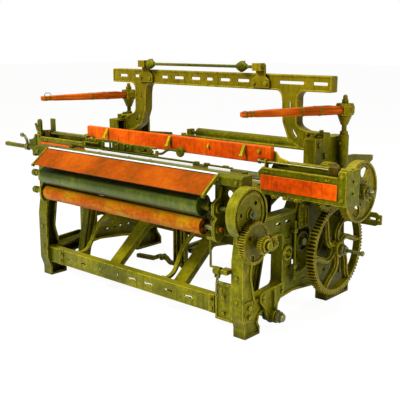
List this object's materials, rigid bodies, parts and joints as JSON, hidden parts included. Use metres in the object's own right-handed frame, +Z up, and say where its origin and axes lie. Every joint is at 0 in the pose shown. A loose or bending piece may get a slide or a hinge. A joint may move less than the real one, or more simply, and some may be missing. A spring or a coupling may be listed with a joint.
{
  "type": "power loom",
  "caption": "Power loom with cast side frames, top arch, swinging sley with shuttle boxes, overpick sticks, crankshaft with flywheel and gears, take-up rollers and a bare front board.",
  "frame": {"origin": "centre of the four floor bolt holes at floor level", "axes": "+X along the loom towards the driving side, +Y from the weaver's side to the warp side, +Z up"},
  "size_m": [2.47, 1.4134, 1.3869],
  "materials": {
    "olive_paint": "gloss",
    "red_paint": "gloss",
    "red_wood": "satin",
    "steel": "satin",
    "dark_green_paint": "satin",
    "orange_paint": "satin",
    "cream_paint": "satin",
    "hide": "matte"
  },
  "bodies": {
    "frame": {"side_frame_right": "olive_paint", "side_frame_left": "olive_paint", "crank_bearing_caps": "olive_paint", "front_rail": "olive_paint", "middle_rail": "olive_paint", "rear_rail": "olive_paint", "rail_stays": "olive_paint", "centre_bracket": "olive_paint", "cover_panel": "olive_paint", "arch": "olive_paint", "arch_brackets": "olive_paint", "breast_beam": "olive_paint", "front_board": "red_paint", "board_strips": "cream_paint", "roller_brackets": "olive_paint", "wheel_bracket": "olive_paint", "rocking_brackets": "olive_paint", "heald_brackets": "olive_paint", "back_rest_brackets": "olive_paint", "rear_guide": "olive_paint", "side_fittings": "olive_paint", "drum_stud": "steel", "temple_bars": "steel", "handle_rail": "steel", "hook_rod": "olive_paint", "let_off_chain": "steel", "frame_bolts": "olive_paint"},
    "crank": {"crankshaft": "steel", "crank_pinion": "olive_paint", "flywheel": "olive_paint"},
    "arm_right": {"crank_arm_right": "olive_paint"},
    "arm_left": {"crank_arm_left": "olive_paint"},
    "tappet_line": {"tappet_shaft": "steel", "tappet_wheel": "olive_paint", "tappets": "olive_paint"},
    "sley": {"rocking_shaft": "steel", "swords": "olive_paint", "sley_beam": "olive_paint", "reed_cap": "red_paint", "cap_fittings": "olive_paint", "shuttle_box_right": "olive_paint", "shuttle_box_left": "olive_paint", "box_panels": "red_paint", "picker_spindles": "steel", "pickers": "hide"},
    "pick_right": {"picking_shaft_right": "olive_paint", "picking_stick_right": "red_wood"},
    "pick_left": {"picking_shaft_left": "olive_paint", "picking_stick_left": "red_wood"},
    "heald_line": {"heald_roller": "steel"},
    "treadle_r": {"treadle_right": "olive_paint"},
    "treadle_l": {"treadle_left": "olive_paint"},
    "take_up": {"take_up_roller": "dark_green_paint", "beam_wheel": "olive_paint"},
    "stud_line": {"stud_wheel": "olive_paint"},
    "change_line": {"change_pinion": "steel"},
    "cloth": {"cloth_roller": "orange_paint"},
    "back_rest": {"back_rest_roller": "dark_green_paint"},
    "drum": {"guide_drum": "olive_paint"},
    "handle": {"starting_handle": "steel"}
  },
  "joints": [
    {"name": "crank_turn", "type": "hinge", "parent": "frame", "child": "crank", "pos_m": [0, 0.0685, 0.72618], "axis": [1, 0, 0], "continuous": true},
    {"name": "arm_right_pin", "type": "hinge", "parent": "crank", "child": "arm_right", "pos_m": [0.64, 0.1245, 0.72618], "axis": [1, 0, 0], "continuous": true},
    {"name": "arm_left_pin", "type": "hinge", "parent": "crank", "child": "arm_left", "pos_m": [-0.64, 0.1245, 0.72618], "axis": [1, 0, 0], "continuous": true},
    {"name": "tappet_turn", "type": "hinge", "parent": "frame", "child": "tappet_line", "pos_m": [0, 0.1835, 0.353], "axis": [1, 0, 0], "continuous": true},
    {"name": "sley_swing", "type": "hinge", "parent": "frame", "child": "sley", "pos_m": [0, -0.3165, 0.078], "axis": [1, 0, 0], "range_deg": [0, 12.3]},
    {"name": "pick_right_turn", "type": "hinge", "parent": "frame", "child": "pick_right", "pos_m": [0.885, 0.2955, 0.9], "axis": [0, 0, 1], "range_deg": [-15, 50]},
    {"name": "pick_left_turn", "type": "hinge", "parent": "frame", "child": "pick_left", "pos_m": [-0.885, 0.2955, 0.9], "axis": [0, 0, 1], "range_deg": [-15, 45]},
    {"name": "heald_rock", "type": "hinge", "parent": "frame", "child": "heald_line", "pos_m": [0, 0.1155, 1.356], "axis": [1, 0, 0], "range_deg": [-45, 45]},
    {"name": "treadle_right_drop", "type": "hinge", "parent": "frame", "child": "treadle_r", "pos_m": [0.034, 0.3535, 0.196], "axis": [1, 0, 0], "range_deg": [0, 4]},
    {"name": "treadle_left_drop", "type": "hinge", "parent": "frame", "child": "treadle_l", "pos_m": [-0.034, 0.3535, 0.196], "axis": [1, 0, 0], "range_deg": [0, 4]},
    {"name": "stud_turn", "type": "hinge", "parent": "frame", "child": "stud_line", "pos_m": [0.93, -0.5865, 0.5476], "axis": [1, 0, 0], "continuous": true},
    {"name": "take_up_turn", "type": "hinge", "parent": "frame", "child": "take_up", "pos_m": [0, -0.5865, 0.686], "axis": [1, 0, 0], "continuous": true},
    {"name": "change_turn", "type": "hinge", "parent": "frame", "child": "change_line", "pos_m": [0.93, -0.44917, 0.51841], "axis": [1, 0, 0], "continuous": true},
    {"name": "cloth_turn", "type": "hinge", "parent": "frame", "child": "cloth", "pos_m": [0, -0.5865, 0.576], "axis": [1, 0, 0], "continuous": true},
    {"name": "back_rest_turn", "type": "hinge", "parent": "frame", "child": "back_rest", "pos_m": [0, 0.6635, 0.845], "axis": [1, 0, 0], "continuous": true},
    {"name": "drum_turn", "type": "hinge", "parent": "frame", "child": "drum", "pos_m": [0.82, -0.0505, 0.43], "axis": [1, 0, 0], "continuous": true},
    {"name": "handle_swing", "type": "hinge", "parent": "frame", "child": "handle", "pos_m": [-0.96, -0.5365, 0.832], "axis": [1, 0, 0], "range_deg": [-30, 40]}
  ],
  "couplings": [
    {"joint": "arm_right_pin", "follows": "crank_turn", "ratio": -1},
    {"joint": "arm_left_pin", "follows": "crank_turn", "ratio": -1},
    {"joint": "tappet_turn", "follows": "crank_turn", "ratio": -0.5},
    {"joint": "take_up_turn", "follows": "stud_turn", "ratio": -0.23214},
    {"joint": "change_turn", "follows": "stud_turn", "ratio": -2.8889},
    {"joint": "cloth_turn", "follows": "stud_turn", "ratio": 0.2927}
  ]
}
